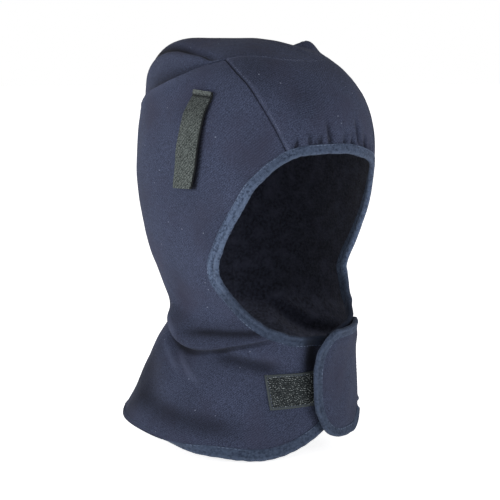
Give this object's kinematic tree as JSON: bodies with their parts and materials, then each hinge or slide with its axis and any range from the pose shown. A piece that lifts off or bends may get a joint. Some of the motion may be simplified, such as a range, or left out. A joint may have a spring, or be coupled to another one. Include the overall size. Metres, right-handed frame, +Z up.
{
  "type": "hard hat winter liner",
  "caption": "Balaclava-style winter liner for a hard hat: fleece-backed twill hood with a flared neck cape, bound face opening, hook-and-loop chin flap and side hat straps.",
  "frame": {"origin": "inside of the crown, where the hood sits on the top of a head", "axes": "+Z up, the face opening looks along -Y, the wearer's left is +X"},
  "size_m": [0.1919, 0.2183, 0.3341],
  "materials": {
    "cloth": "navy twill with a dark fleece back",
    "binding": "slate-blue bias binding tape",
    "strap": "grey-green twill tape",
    "hook": "black hook tape",
    "loop": "black loop tape"
  },
  "bodies": {
    "root": {"front_panel": "cloth", "crown_back_panel": "cloth", "side_panel_right": "cloth", "side_panel_left": "cloth", "face_binding": "binding", "hem_binding": "binding", "chin_flap": "cloth", "flap_binding": "binding", "hook_patch": "hook", "loop_patch": "loop", "hat_strap_right": "strap", "hat_strap_left": "strap"}
  },
  "joints": []
}
